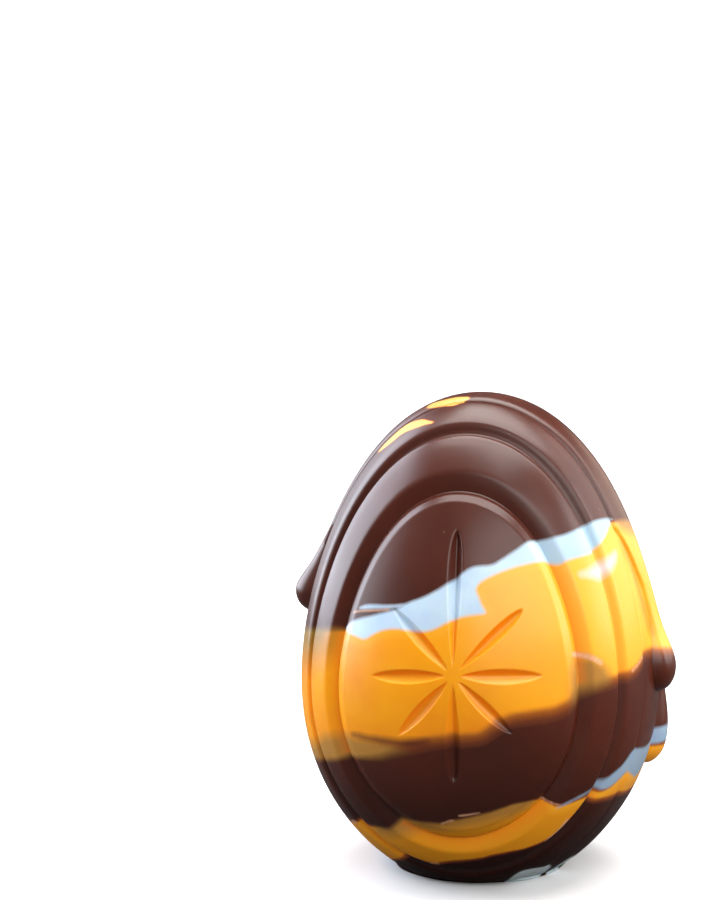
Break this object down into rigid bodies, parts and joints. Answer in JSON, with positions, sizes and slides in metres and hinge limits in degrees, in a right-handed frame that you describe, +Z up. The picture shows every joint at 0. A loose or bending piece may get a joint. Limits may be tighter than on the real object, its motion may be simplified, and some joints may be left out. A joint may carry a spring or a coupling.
{
  "type": "chocolate egg",
  "caption": "Upright moulded chocolate egg on a small round foot, with a star medallion inside raised rings on both faces and an icing belt that runs down the sides in drips.",
  "frame": {"origin": "centre of the round foot, on the surface the egg stands on", "axes": "+Z up along the egg's long axis, -Y out of the front star, +X to the right seen from the front"},
  "size_m": [0.1069, 0.098, 0.1323],
  "materials": {
    "marbled_chocolate": "satin-gloss moulded chocolate, brown marbled with orange-yellow and white"
  },
  "bodies": {
    "root": {"chocolate_egg": "marbled_chocolate"}
  },
  "joints": []
}
